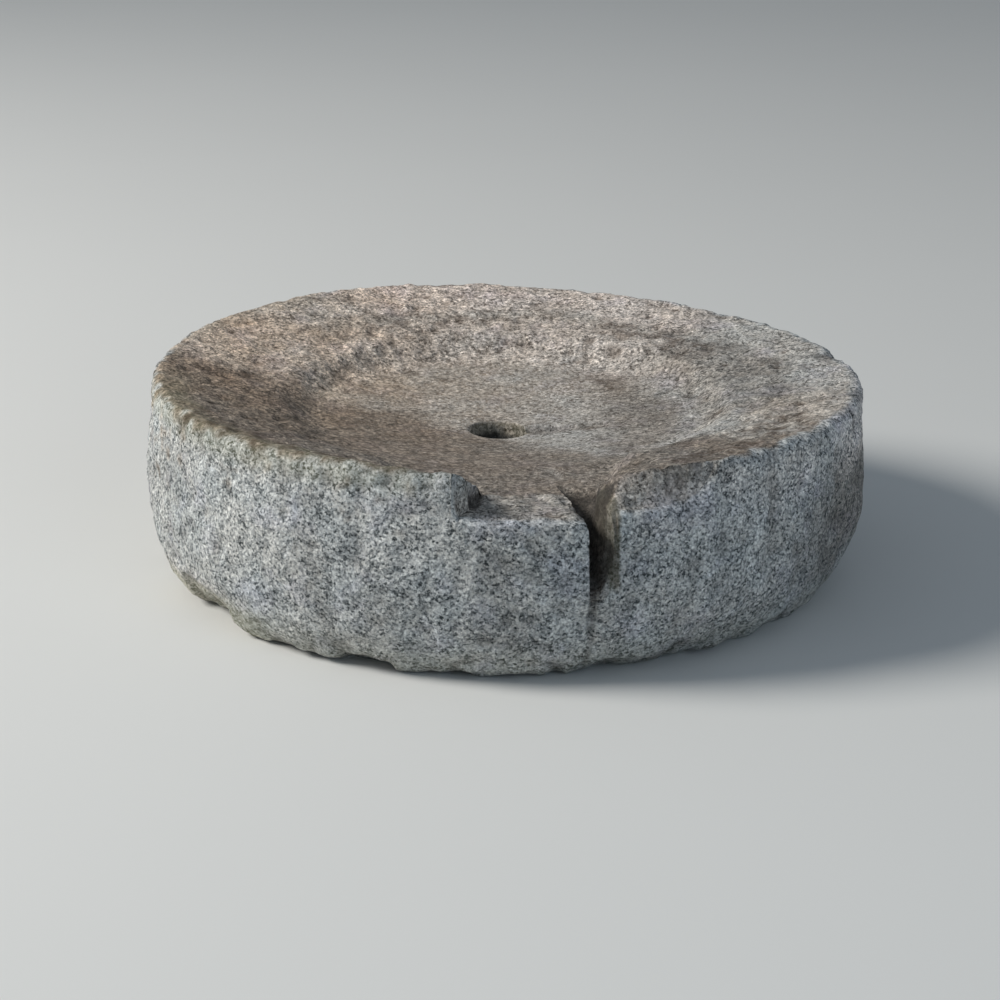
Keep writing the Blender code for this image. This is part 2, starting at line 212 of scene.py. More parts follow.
class GraniteLooks(bpy.types.PropertyGroup):
    """Colours and grain of the granite."""

    feldspar: colour("Feldspar", "#CCCBC6", "Light grains")
    quartz: colour("Quartz", "#A4A5A3", "Middle grey grains")
    slate: colour("Slate", "#808382", "Darker mixed grains")
    mica: colour("Mica", "#373B3C", "Black grains")
    earth: colour("Earth", "#B39F8A", "Dry earth worked into the hollow")
    brown: colour("Brown dirt", "#57422F", "Old dirt in pits and corners")
    lichen: colour("Lichen", "#9C9A72", "Faint weathering film")
    grain: length("Grain", 0.0021, "Width of a grain")


class StudioSettings(bpy.types.PropertyGroup):
    """Camera, lights and floor."""

    camera_place: FloatVectorProperty(
        name="Camera place",
        description="Where the camera stands",
        size=3,
        default=(0.00039, -1.99017, 0.72839),
    )
    camera_turn: FloatVectorProperty(
        name="Camera turn",
        description="Yaw, pitch down and roll, in degrees",
        size=3,
        default=(-0.1376, 18.8626, 0.5584),
    )
    camera_lens: FloatProperty(name="Lens", description="Focal length in mm on a 36 mm sensor", default=87.72)
    key_azimuth: angle("Key azimuth", 186.0, "Side that the key light comes from")
    key_rise: angle("Key rise", 36.0, "Angle of the key light above the floor")
    key_power: FloatProperty(name="Key power", description="Power of the key light in watts", default=262.0)
    floor_colour: colour("Floor", "#D6D5D1", "Plain pale floor")


def ease(share):
    """The smooth step 3t^2 - 2t^3, 0 below 0 and 1 above 1."""
    share = np.clip(share, 0.0, 1.0)
    return share * share * (3.0 - 2.0 * share)


def mix(first, second, share):
    return first + (second - first) * share


def waves(table, azimuth):
    """The sum of cosine waves round the stone, each with its own crest."""
    return sum(size * np.cos(count * (azimuth - math.radians(crest))) for count, size, crest in table)


def turn_from(azimuth, middle):
    """The signed turn from a middle azimuth, in degrees from -180 to 180."""
    return (np.degrees(azimuth) - middle + 180.0) % 360.0 - 180.0


def patch(azimuth, along, middle, half_turn, first, last, soft):
    """1 inside a patch of given azimuths and of given heights or radii, fading to 0 across its soft edge."""
    sideways = ease((half_turn - np.abs(turn_from(azimuth, middle))) / (0.5 * half_turn))
    return sideways * ease((along - first) / soft + 0.5) * ease((last - along) / soft + 0.5)


def lattice(cells, seed):
    """A number from 0 to 1 for each cell of a grid, by mixing the bits of its three indices."""
    mixed = cells[..., 0] * 374761393 + cells[..., 1] * 668265263 + cells[..., 2] * 2147483647
    mixed = mixed + seed * 1274126177
    mixed = (mixed ^ (mixed >> 13)) * 1274126177
    mixed = mixed ^ (mixed >> 16)
    return (mixed & 0xFFFFFF) / float(0xFFFFFF)


def soft_noise(points, size, seed):
    """Smooth noise from -1 to 1: random numbers at a grid's corners, with smooth steps between them."""
    scaled = points / size
    base = np.floor(scaled).astype(np.int64)
    part = scaled - base
    part = part**3 * (part * (part * 6.0 - 15.0) + 10.0)
    total = np.zeros(points.shape[:-1])
    for corner in range(8):
        step = np.array([corner & 1, (corner >> 1) & 1, (corner >> 2) & 1])
        total += np.prod(np.where(step == 1, part, 1.0 - part), axis=-1) * lattice(base + step, seed)
    return 2.0 * total - 1.0


def rough(points, size, seed, octaves=3):
    """Octaves of soft noise, each of half the size and about half the height of the one before."""
    return sum(0.55**k * soft_noise(points + 0.37 * k, size / 2.0**k, seed + k) for k in range(octaves))


def pits(points, size, share, seed):
    """Round pits from 0 to 1, one in each cell of that size but only in a share of the cells. A pit's depth
    is 1 - (d / w)^2 at a distance d from its middle, with a random width w."""
    scaled = points / size
    base = np.floor(scaled).astype(np.int64)
    deepest = np.zeros(points.shape[:-1])
    for corner in range(27):
        cell = base + np.array([corner % 3 - 1, (corner // 3) % 3 - 1, corner // 9 - 1])
        middle = np.stack([lattice(cell, seed + axis) for axis in range(3)], axis=-1)
        width = 0.26 + 0.30 * lattice(cell, seed + 7)
        away = np.linalg.norm(scaled - cell - middle, axis=-1) / width
        depth = np.clip(1.0 - away * away, 0.0, 1.0) * width / 0.56
        deepest = np.maximum(deepest, np.where(lattice(cell, seed + 5) < share, depth, 0.0))
    return deepest


class StoneForm:
    """The stone's shape before weathering, as heights and radii over azimuth and plan position."""

    def __init__(self, sizes):
        self.s = sizes
        self.slot_turn = math.radians(sizes.slot_azimuth)
        self.rim_inner = sizes.radius - sizes.rim_width
        self.bed_radius = self.rim_inner - sizes.step_width

    def wall_radius(self, azimuth):
        return self.s.radius * (1.0 + waves(PLAN_WAVES, azimuth))

    def rim_height(self, azimuth):
        middle, half, depth = RIM_DIP
        dip = depth * ease(1.0 - np.abs(turn_from(azimuth, middle)) / half)
        return self.s.rim_height + self.s.rim_rise + waves(RIM_WAVES, azimuth) - dip

    def bed_height(self, radius):
        """The dished bed: lowest in the middle, rising with radius to the power 1.5, level past its edge."""
        s = self.s
        out = np.minimum(1.0, radius / self.bed_radius)
        return s.rim_height - s.bed_depth + (s.bed_depth - s.bed_edge_depth) * out**1.5

    def run_share(self, azimuth):
        """1 in the middle of the run worn out towards the slot, fading to 0 at its sides."""
        turn = turn_from(azimuth, self.s.run_azimuth)
        reach = np.where(turn < 0.0, self.s.run_left_angle, self.s.run_right_angle)
        return ease((reach - np.abs(turn)) / (reach - self.s.run_flat))

    def hollow(self, radius, azimuth):
        """Height of the uncut top: a straight fall along the rim, a smooth step, then the dished bed."""
        s = self.s
        worn = s.run_reach * self.run_share(azimuth)
        edge = self.wall_radius(azimuth) - s.wall_lean - s.arris
        rim_end, bed_end = self.rim_inner + worn, self.bed_radius + worn
        low = s.rim_height - s.rim_inner_depth
        rim = mix(self.rim_height(azimuth), low, np.clip((edge - radius) / (edge - rim_end), -0.1, 1.0))
        step = ease((radius - bed_end) / (rim_end - bed_end))
        height = np.where(radius > rim_end, rim, mix(self.bed_height(radius), low, step))
        # At the near left the step is worn away to one slope
        share = (edge - radius) / (edge - self.bed_radius)
        one_slope = mix(self.rim_height(azimuth), self.bed_height(radius), share)
        worn_away = ease(1.3 - np.abs(turn_from(azimuth, s.slope_azimuth)) / s.slope_half_angle)
        one_slope = np.where(radius > self.bed_radius, one_slope, self.bed_height(radius))
        return mix(height, one_slope, worn_away)

    def in_slot_frame(self, radius, azimuth):
        """(out along the slot, across to its right) for a plan position."""
        return radius * np.cos(azimuth - self.slot_turn), radius * np.sin(azimuth - self.slot_turn)

    def slot_lines(self, out):
        """(floor height, left cheek, right edge of the floor, right cheek) at a distance out along the slot.
        The floor falls evenly to the wall, both cheeks open inwards by a smooth step, and close to the wall the
        right cheek flares out by a parabola."""
        s = self.s
        bed = self.bed_height(self.bed_radius)
        inner = s.radius - s.slot_length
        floor = bed - (bed - s.slot_mouth) / s.slot_length * (out - inner)
        opening = 1.0 - ease((out - inner) / (s.slot_length - s.funnel_inset))
        left = -0.5 * s.slot_width - s.funnel_left * opening
        to_wall = self.wall_radius(self.slot_turn) - s.wall_lean - out
        flare = np.clip(1.0 - to_wall / (1.2 * s.slot_round), 0.0, 1.0)
        right = 0.5 * s.slot_width - 0.7 * s.slot_round * (1.0 - flare**2) + s.funnel_right * opening
        return floor, left, left + s.slot_floor * (1.0 + opening), right

    def break_reach(self, out):
        """How far the break reaches left of the slot: two straight lines that meet at its corner."""
        s = self.s
        slope = (s.break_width - s.break_corner) / s.break_corner_inset
        insets = [-BREAK_BEYOND, s.break_corner_inset, s.break_inset]
        reaches = [s.break_width + BREAK_BEYOND * slope, s.break_corner, s.break_inner]
        return np.interp(s.radius - out, insets, reaches)

    def break_floor(self, out, across):
        """The break's floor falls inwards and rises a little to its far end."""
        s = self.s
        fall = (s.break_inner_depth - s.break_depth) / s.break_inset
        floor = s.rim_height - s.break_depth - fall * (s.radius - out)
        return floor + s.break_twist * np.clip(-across / self.break_reach(out), 0.0, 1.1)

    def break_height(self, radius, azimuth):
        """The break: its floor, with an upright face at its left end and a rounded shoulder at the slot."""
        out, across = self.in_slot_frame(radius, azimuth)
        reach = self.break_reach(out)
        shoulder = np.clip((across + 0.5 * self.s.slot_width + SHOULDER) / SHOULDER, 0.0, 1.0)
        near_wall = ease((out - self.s.radius + 0.065) / 0.035)
        floor = self.break_floor(out, across) - SHOULDER_DROP * shoulder**2 * near_wall
        height = floor + STEEP * np.maximum(0.0, np.maximum(-across - reach, across))
        return np.where(out > 0.0, height, UNCUT)

    def chip_height(self, radius, azimuth):
        """The chip: a straight bevel from its ridge down to the wall. Its lower edge falls and its ridge nears
        the wall along its length, and beyond that it runs out in a straight rise."""
        s = self.s
        out, across = self.in_slot_frame(radius, azimuth)
        share = np.clip(across / s.chip_length, 0.0, 1.0)
        low = s.rim_height - mix(s.chip_wall_depth, s.chip_far_depth, share)
        ridge = s.rim_height - mix(s.chip_slot_depth, s.chip_end_depth, share)
        inset = self.wall_radius(azimuth) - s.wall_lean - radius
        bevel = low + inset * (ridge - low) / mix(s.chip_inset, s.chip_far_inset, share)
        bevel = bevel + (ridge - low) * np.maximum(0.0, across - s.chip_length) / s.chip_end
        height = bevel + STEEP * np.maximum(0.0, -across - 0.5 * s.slot_width)
        return np.where(out > 0.0, height, UNCUT)

    def slot_height(self, radius, azimuth):
        """The slot: a sloping floor, an upright left cheek, and a right cheek that is a quarter ellipse below
        and has a worn, sloping shoulder above."""
        out, across = self.in_slot_frame(radius, azimuth)
        floor, left, floor_right, right = self.slot_lines(out)
        up = np.clip((across - floor_right) / (right - floor_right), 0.0, 1.0)
        height = floor + self.s.slot_curve * (1.0 - np.sqrt(1.0 - up * up))
        beyond = np.maximum(0.0, across - right)
        shoulder = np.maximum(0.0, self.s.rim_height - 1.9 * self.s.slot_round - 0.010 - height)
        height = height + np.minimum(STEEP * beyond, shoulder + 1.4 * beyond)
        height = height + STEEP * np.maximum(0.0, left - across)
        return np.where(out > 0.0, height, UNCUT)

    def top(self, radius, azimuth):
        """Height of the cut top: the lowest of the hollow, the break, the chip and the slot."""
        height = np.minimum(self.hollow(radius, azimuth), self.break_height(radius, azimuth))
        height = np.minimum(height, self.chip_height(radius, azimuth))
        return np.minimum(height, self.slot_height(radius, azimuth))

    def seat_cut(self, x, y):
        """Depth of the shallow seat right of the socket, with edges softened over 1.5 mm."""
        s = self.s
        along = x - s.socket_place[0]
        side = np.abs(y - s.socket_place[1] - 0.017 * along)
        share = np.clip(along / s.seat_length, 0.0, 1.0)
        half = 0.5 * mix(s.seat_width, s.seat_end_width, share)
        within = ease((half - side) / 0.0015 + 0.5) * ease((s.seat_length - along) / 0.002 + 0.5)
        return mix(s.seat_depth, s.seat_end_depth, share) * within * ease(along / 0.01)

    def column_turns(self, radius):
        """Turns from the slot of all columns at each radius, as radii by columns. They follow the broken end,
        both cheeks and the chip's end; a line at a distance a across lies at the turn asin(a / r)."""
        s = self.s

        def turn_of(line, guess):
            across = np.full_like(radius, guess)
            for _ in range(25):
                across = 0.4 * across + 0.6 * line(np.sqrt(np.maximum(radius**2 - across**2, 1e-8)))
            return np.arcsin(np.clip(across / radius, -1.0, 1.0))

        end = turn_of(lambda out: -self.break_reach(out), -s.break_corner)
        left = turn_of(lambda out: self.slot_lines(out)[1], -0.01)
        floor_right = turn_of(lambda out: self.slot_lines(out)[2], -0.004)
        right = turn_of(lambda out: self.slot_lines(out)[3], 0.01)
        chip = np.arcsin(s.chip_length / radius)
        chip_end = np.arcsin((s.chip_length + s.chip_end) / radius)
        side = np.full_like(radius, SIDE_TURN)
        mm = 0.001 / radius
        lines = [-side, end - 0.7 * mm, end + 0.1 * mm, left - 1.5 * mm, left + 0.1 * mm]
        lines += [floor_right, right, right + 1.2 * mm, right + 11.0 * mm, chip, chip_end, side]
        spans = []
        for number, (first, last, count) in enumerate(zip(lines, lines[1:], CUT_COLUMNS)):
            share = np.arange(count) / count
            if number == CURVED_CHEEK:
                share = np.sin(0.5 * math.pi * share)
            spans.append(first[:, None] + (last - first)[:, None] * share)
        share = np.arange(COLUMNS_AROUND) / COLUMNS_AROUND
        spans.append(np.tile(SIDE_TURN + (2.0 * math.pi - 2.0 * SIDE_TURN) * share, (len(radius), 1)))
        return np.concatenate(spans, axis=1)


def flaked(radius, height, azimuth, form):
    """Pulls the wall in to the scars of the flakes. A scar's radius rises with height along two straight
    lines, and its ends lie further out, so that it fades out sideways."""
    s = form.s
    foot = s.radius - s.foot_inset
    for middle, width, tall, depth in FOOT_FLAKES:
        share = min(1.0, tall / s.foot_height)
        wall = foot + s.foot_inset * math.sqrt(1.0 - (1.0 - share) ** 2)
        across = s.radius * np.radians(turn_from(azimuth, middle))
        back = depth * np.interp(np.abs(across) / width, FLAKE_SHARES, FLAKE_BACKS)
        heights = [0.0, 0.28 * tall, tall, tall + 0.02]
        radii = [foot - 0.5 * depth, 0.5 * (foot - depth + wall), wall, wall + 0.04]
        scar = np.interp(height, heights, radii)
        radius = np.minimum(radius, scar + back)
    return radius


def nicked(radius, height, azimuth, form):
    """Presses the points outside each nick's sloping line on to it. The line moves out at the nick's ends."""
    s = form.s
    for middle, width, drop, depth in RIM_NICKS:
        across = s.radius * np.radians(turn_from(azimuth, middle))
        back = depth * np.interp(np.abs(across) / width, NICK_SHARES, NICK_BACKS)
        long = math.hypot(drop, depth)
        out_r, out_h = drop / long, depth / long
        top = form.rim_height(np.radians(middle))
        proud = (radius - (s.radius - s.wall_lean - depth + back)) * out_r + (height - top) * out_h
        proud = np.maximum(0.0, proud) * (radius > s.radius - 0.04)
        radius, height = radius - proud * out_r, height - proud * out_h
    return radius, height


def outer_rows(form):
    """The stone from the edge of its underside to the guide circle, as (radius, azimuth, height), rows by
    columns. The foot is an elliptic arc, the wall leans in by the square of its height, the arris is a
    quarter circle, and the top is the height of the cut top over the plan."""
    s = form.s
    radii = np.linspace(GUIDE_RADIUS, s.radius + 0.012, 341)
    table = form.column_turns(radii)
    column = np.arange(table.shape[1])

    def turn_at(radius):
        place = np.clip((radius - radii[0]) / (radii[1] - radii[0]), 0.0, len(radii) - 1.001)
        base = place.astype(int)
        return mix(table[base, column], table[base + 1, column], place - base)

    azimuth = form.slot_turn + turn_at(np.full(len(column), s.radius - 0.004))
    azimuth = form.slot_turn + turn_at(form.wall_radius(azimuth) - s.wall_lean)
    wall = form.wall_radius(azimuth)
    inset = s.foot_inset + waves(FOOT_WAVES, azimuth)

    edge_height = form.top(wall - s.wall_lean, azimuth)
    broken = ease((form.rim_height(azimuth) - edge_height) / 0.008 - 0.3)
    arris = mix(s.arris, s.broken_arris, broken)
    edge_radius = wall - s.wall_lean - arris
    edge_top = form.top(edge_radius, azimuth)
    shoulder = np.minimum(edge_top, edge_height + arris) - arris

    turn = 0.5 * math.pi * np.linspace(0.0, 0.8, FOOT_ROWS)[:, None]
    foot_up = np.broadcast_to(s.foot_height * (1.0 - np.cos(turn)), (FOOT_ROWS, len(column)))
    # Rows of the wall keep their heights below a cut, and close up just under it
    share = np.linspace(0.0, 1.0, WALL_ROWS + 1)[1:, None]
    full = form.rim_height(azimuth) - s.arris
    knee = np.maximum(foot_up[-1], np.minimum(full, shoulder) - CLOSE_ROWS)
    wall_up = mix(foot_up[-1], full, share)
    wall_up = np.where(wall_up > knee, knee + (wall_up - knee) * (shoulder - knee) / (full - knee), wall_up)
    up = np.concatenate([foot_up, wall_up])
    curl = np.sqrt(np.clip(1.0 - (1.0 - np.clip(up / s.foot_height, 0.0, 1.0)) ** 2, 0.0, 1.0))
    lean = np.clip((up - s.foot_height) / (s.rim_height - s.arris - s.foot_height), 0.0, 1.0)
    side = wall - inset * (1.0 - curl) - s.wall_lean * lean**2
    phase = 2.0 * math.pi * up / s.rim_height
    for count, rise, size, crest in WALL_LUMPS:
        ripple = size * np.cos(count * (azimuth - math.radians(crest)) + rise * phase)
        side = side + ripple * np.sin(math.pi * np.clip(up / s.rim_height, 0.0, 1.0))

    turn = 0.5 * math.pi * np.linspace(0.0, 1.0, ARRIS_ROWS + 1)[1:, None]
    arris_radius = edge_radius + (side[-1] - edge_radius) * np.cos(turn)
    arris_up = shoulder + (edge_top - shoulder) * np.sin(turn)
    low_radius = np.concatenate([side, arris_radius])
    low_up = np.concatenate([up, arris_up])
    low_azimuth = np.broadcast_to(azimuth, low_radius.shape)

    share = (np.arange(1, TOP_ROWS + 1) / TOP_ROWS)[:, None]
    top_radius = mix(edge_radius, GUIDE_RADIUS, share)
    top_azimuth = form.slot_turn + turn_at(top_radius)
    top_azimuth = top_azimuth + (azimuth - form.slot_turn - turn_at(edge_radius)) * (1.0 - share) ** 8
    top_up = form.top(top_radius, top_azimuth)
    radius = np.concatenate([low_radius, top_radius])
    azimuths = np.concatenate([low_azimuth, top_azimuth])
    return radius, azimuths, np.concatenate([low_up, top_up])


def stone_rings(form):
    """All rings of points, from the underside's middle round to the socket's floor. Rings hold half or a
    quarter of the points, and so on, towards both middles."""
    s = form.s
    radius, azimuth, height = outer_rows(form)
    radius = flaked(radius, height, azimuth, form)
    radius, height = nicked(radius, height, azimuth, form)
    outer = np.stack([radius * np.cos(azimuth), radius * np.sin(azimuth), height], axis=-1)
    rings = list(outer)

    edge = outer[0].copy()
    edge[:, 2] = 0.0
    for share, every in UNDER_RINGS:
        rings.insert(0, edge[::every] * np.array([share, share, 0.0]))

    guide = outer[-1]
    count = len(guide)
    steps_round = np.arange(count) - (count - COLUMNS_AROUND // 2)
    turns = form.slot_turn + math.pi + 2.0 * math.pi * steps_round / count
    middle = np.array(s.socket_place)
    mouth = s.socket_radius + 0.002
    ring_dir = np.stack([np.cos(turns), np.sin(turns)], axis=-1)
    steps = [(k / 40.0, 2 if k <= 18 else 4 if k <= 30 else 8) for k in range(1, 41)]
    for share, every in steps:
        plan = mix(guide[::every, :2], middle + mouth * ring_dir[::every], share)
        far, turn = np.hypot(plan[:, 0], plan[:, 1]), np.arctan2(plan[:, 1], plan[:, 0])
        up = form.top(far, turn) - form.seat_cut(plan[:, 0], plan[:, 1])
        rings.append(np.concatenate([plan, up[:, None]], axis=1))

    lip = rings[-1][:, 2]
    floor = form.bed_height(0.0) - s.socket_depth
    for inward, down in ((0.0008, 0.0002), (0.0015, 0.0007), (0.0020, 0.0018)):
        plan = middle + (mouth - inward) * ring_dir[::8]
        rings.append(np.concatenate([plan, (lip - down)[:, None]], axis=1))
    for share in np.arange(1, 19) / 18.0:
        plan = middle + mix(s.socket_radius, s.socket_floor, share) * ring_dir[::8]
        rings.append(np.concatenate([plan, mix(lip - 0.0018, floor, share)[:, None]], axis=1))
    for share in (0.85, 0.55, 0.25):
        plan = middle + share * s.socket_floor * ring_dir[::8]
        rings.append(np.concatenate([plan, np.full((len(plan), 1), floor - 0.002 * (1.0 - share))], axis=1))
    return rings


def skin(counts):
    """Faces over rings of points that follow one another along the surface, as (quads, triangles). Equal
    rings are joined by quads, a ring and one of half its count by three triangles to each pair, and the
    first and last rings by a fan to a middle point of their own."""
    quads, triangles = [], []
    start = 0
    for first, second in zip(counts, counts[1:]):
        after = start + first
        if first == second:
            k = np.arange(first)
            nxt = (k + 1) % first
            quads.append(np.stack([start + k, start + nxt, after + nxt, after + k], axis=-1))
        else:
            wide, narrow, many = (start, after, first) if first > second else (after, start, second)
            k = np.arange(many // 2)
            a, b, c = wide + 2 * k, wide + 2 * k + 1, wide + (2 * k + 2) % many
            p, q = narrow + k, narrow + (k + 1) % (many // 2)
            three = np.concatenate([np.stack(trio, -1) for trio in ([a, b, p], [b, q, p], [b, c, q])])
            triangles.append(three if first > second else three[:, ::-1])
        start = after
    total = sum(counts)
    k = np.arange(counts[0])
    triangles.append(np.stack([(k + 1) % counts[0], k, np.full_like(k, total)], axis=-1))
    k = np.arange(counts[-1])
    triangles.append(np.stack([start + k, start + (k + 1) % counts[-1], np.full_like(k, total + 1)], axis=-1))
    return np.concatenate(quads), np.concatenate(triangles)


def normals_of(points, quads, triangles):
    """A unit normal for each point: the sum of the faces round it, by area."""
    corners = np.concatenate([quads[:, [0, 1, 2]], quads[:, [0, 2, 3]], triangles])
    a, b, c = (points[corners[:, k]] for k in range(3))
    face = np.cross(b - a, c - a)
    total = np.zeros_like(points)
    for k in range(3):
        for axis in range(3):
            total[:, axis] += np.bincount(corners[:, k], weights=face[:, axis], minlength=len(points))
    return total / np.maximum(np.linalg.norm(total, axis=1, keepdims=True), 1e-12)


def zones_of(form, points):
    """Shares from 0 to 1 of each kind of surface at each point, such as wall, bed, break, slot and socket,
    each a product of smooth steps of a distance, and the point's own radius, azimuth and distances."""
    s = form.s
    x, y, z = points.T
    radius, azimuth = np.hypot(x, y), np.arctan2(y, x)
    out, across = form.in_slot_frame(radius, azimuth)
    hollow = form.hollow(radius, azimuth)
    inset = form.wall_radius(azimuth) - radius
    on_top = ease((z - hollow + 0.004) / 0.003) * (inset > 0.006)
    bed_end = form.bed_radius + s.run_reach * form.run_share(azimuth)
    slot = form.slot_height(radius, azimuth)
    chip = form.chip_height(radius, azimuth)
    broken = np.minimum(form.break_height(radius, azimuth), chip)
    others = np.minimum(hollow, broken)
    high = 0.75 + 0.25 * ease((z - 0.105) / 0.025) * ease((inset - 0.003) / 0.008)
    deep = ease((others - slot - 0.010) / 0.022)
    worn_edge = ease((0.0060 - np.abs(across - 0.0078)) / 0.003) * (out > 0.26)
    scoured = ease(1.3 - np.abs(across + 0.0072) / 0.0040) * (out > 0.1) * (inset < 0.08)
    # On the steep right cheek a small step across changes the slot's height by a lot
    slack = 0.004 + 0.014 * ease((across - 0.001) / 0.004) * ease((inset - 0.006) / 0.006)
    in_slot = ease((z - slot + slack) / 0.003) * ease((inset + 0.003) / 0.004)
    inside = ease((inset - s.wall_lean - 0.002) / 0.003)
    wander = 0.008 * rough(points, 0.03, 67, 2)
    from_socket = np.hypot(x - s.socket_place[0], y - s.socket_place[1])
    down = form.bed_height(from_socket) - z
    in_socket = ease((s.socket_radius + 0.003 - from_socket) / 0.002) * (z > 0.01)
    ledge = z - form.break_floor(out, across)
    end = np.abs(across + form.break_reach(out))
    return {
        "radius": radius,
        "azimuth": azimuth,
        "across": across,
        "inset": inset,
        "wall": ease((0.010 - inset) / 0.006) * (z > 0.002),
        "bed": np.clip(ease((bed_end + 0.018 + wander - radius) / 0.045) * on_top, 0.0, 1.0),
        "slot": ease((others - slot) / 0.006) * in_slot * inside,
        # Dirt and painted shade down in the slot
        "slot_dirt_and_shade": ease((others - slot) / 0.007)
        * in_slot
        * np.maximum(high, ease((0.006 - across) / 0.006)),
        # Painted shade deep in the slot, growing with its depth below the rest of the top
        "slot_deep_shade": deep * in_slot * ease((0.005 - across) / 0.006) * ease(inset / 0.02),
        "slot_edge": worn_edge * ease((z - 0.074) / 0.012) * ease((0.152 - z) / 0.01),
        "broken": ease((hollow - broken) / 0.003) * ease((slot - broken) / 0.002) * inside * (z > 0.10),
        "end_face": ease((ledge - 0.003) / 0.005)
        * ease((0.007 - end) / 0.003)
        * (out > 0.235)
        * (across < 0.0),
        "crevice": ease((0.006 - end - 0.6 * np.abs(ledge)) / 0.004)
        * (out > 0.22)
        * ease((inset - 0.02) / 0.01),
        # Painted shade down the socket, from about 5 mm below the bed
        "socket": in_socket * ease((down - 0.005 - 0.10 * (x - s.socket_place[0] + 0.02)) / 0.006),
        "socket_wall": in_socket * ease(down / 0.002),
        "groove": scoured * ease((0.074 - z) / 0.004),
    }


def weathered(points, zones):
    """How far each point moves along its normal, and how deep it lies in a pit. The wall gets lumps of 1 mm,
    pits and the upright flutes of its dressing, the foot's edge is uneven by 2.6 mm, the breaks get coarser
    ridges, a groove runs down the wall below the slot, and the bed is nearly smooth."""
    z, inset = points[:, 2], zones["inset"]

    def drawn(size, seed, octaves, *stretch):
        """Rough noise on points multiplied by a factor along each axis; a small one draws the noise out."""
        return rough(points * np.array(stretch), size, seed, octaves)

    bed, broken = zones["bed"], zones["broken"]
    coarse = 1.0 - 0.85 * bed - 0.3 * zones["slot"]
    lumps = 0.0011 * rough(points, 0.026, 11, 2) + 0.0009 * rough(points, 0.0095, 17, 2)
    high = np.clip(z / 0.16, 0.0, 1.0)
    flutes = zones["wall"] * (0.4 + 0.7 * high) * 0.0010 * drawn(0.012, 37, 2, 1.0, 1.0, 0.20)
    edge = 0.0007 * ease((0.016 - inset) / 0.01) * (z > 0.12) * rough(points, 0.0080, 43, 2)
    foot = 0.0026 * ease((0.034 - z) / 0.03) * drawn(0.019, 47, 2, 1.0, 1.0, 0.4)
    steps = 0.0014 * drawn(0.020, 23, 3, 1.0, 1.0, 1.6)
    ridged = 0.0018 * (0.5 - np.abs(drawn(0.014, 29, 2, 0.6, 1.4, 1.0)))
    wide = pits(points, 0.011, 0.42, 41)
    few = pits(points, 0.019, 0.30, 53)
    pitted = np.maximum(wide * (1.0 - 0.80 * bed), few * (1.0 - 0.6 * bed))
    move = coarse * (lumps + flutes + edge + foot) + broken * (steps + ridged)
    move = move - pitted * 0.0016 * (1.0 - 0.45 * bed)
    move = move + 0.0004 * bed * rough(points, 0.045, 61, 3)
    move = move - 0.0026 * zones["groove"] * (0.4 + 0.6 * ease((z - 0.03) / 0.03))
    move = move - 0.0022 * zones["crevice"]
    return move, pitted


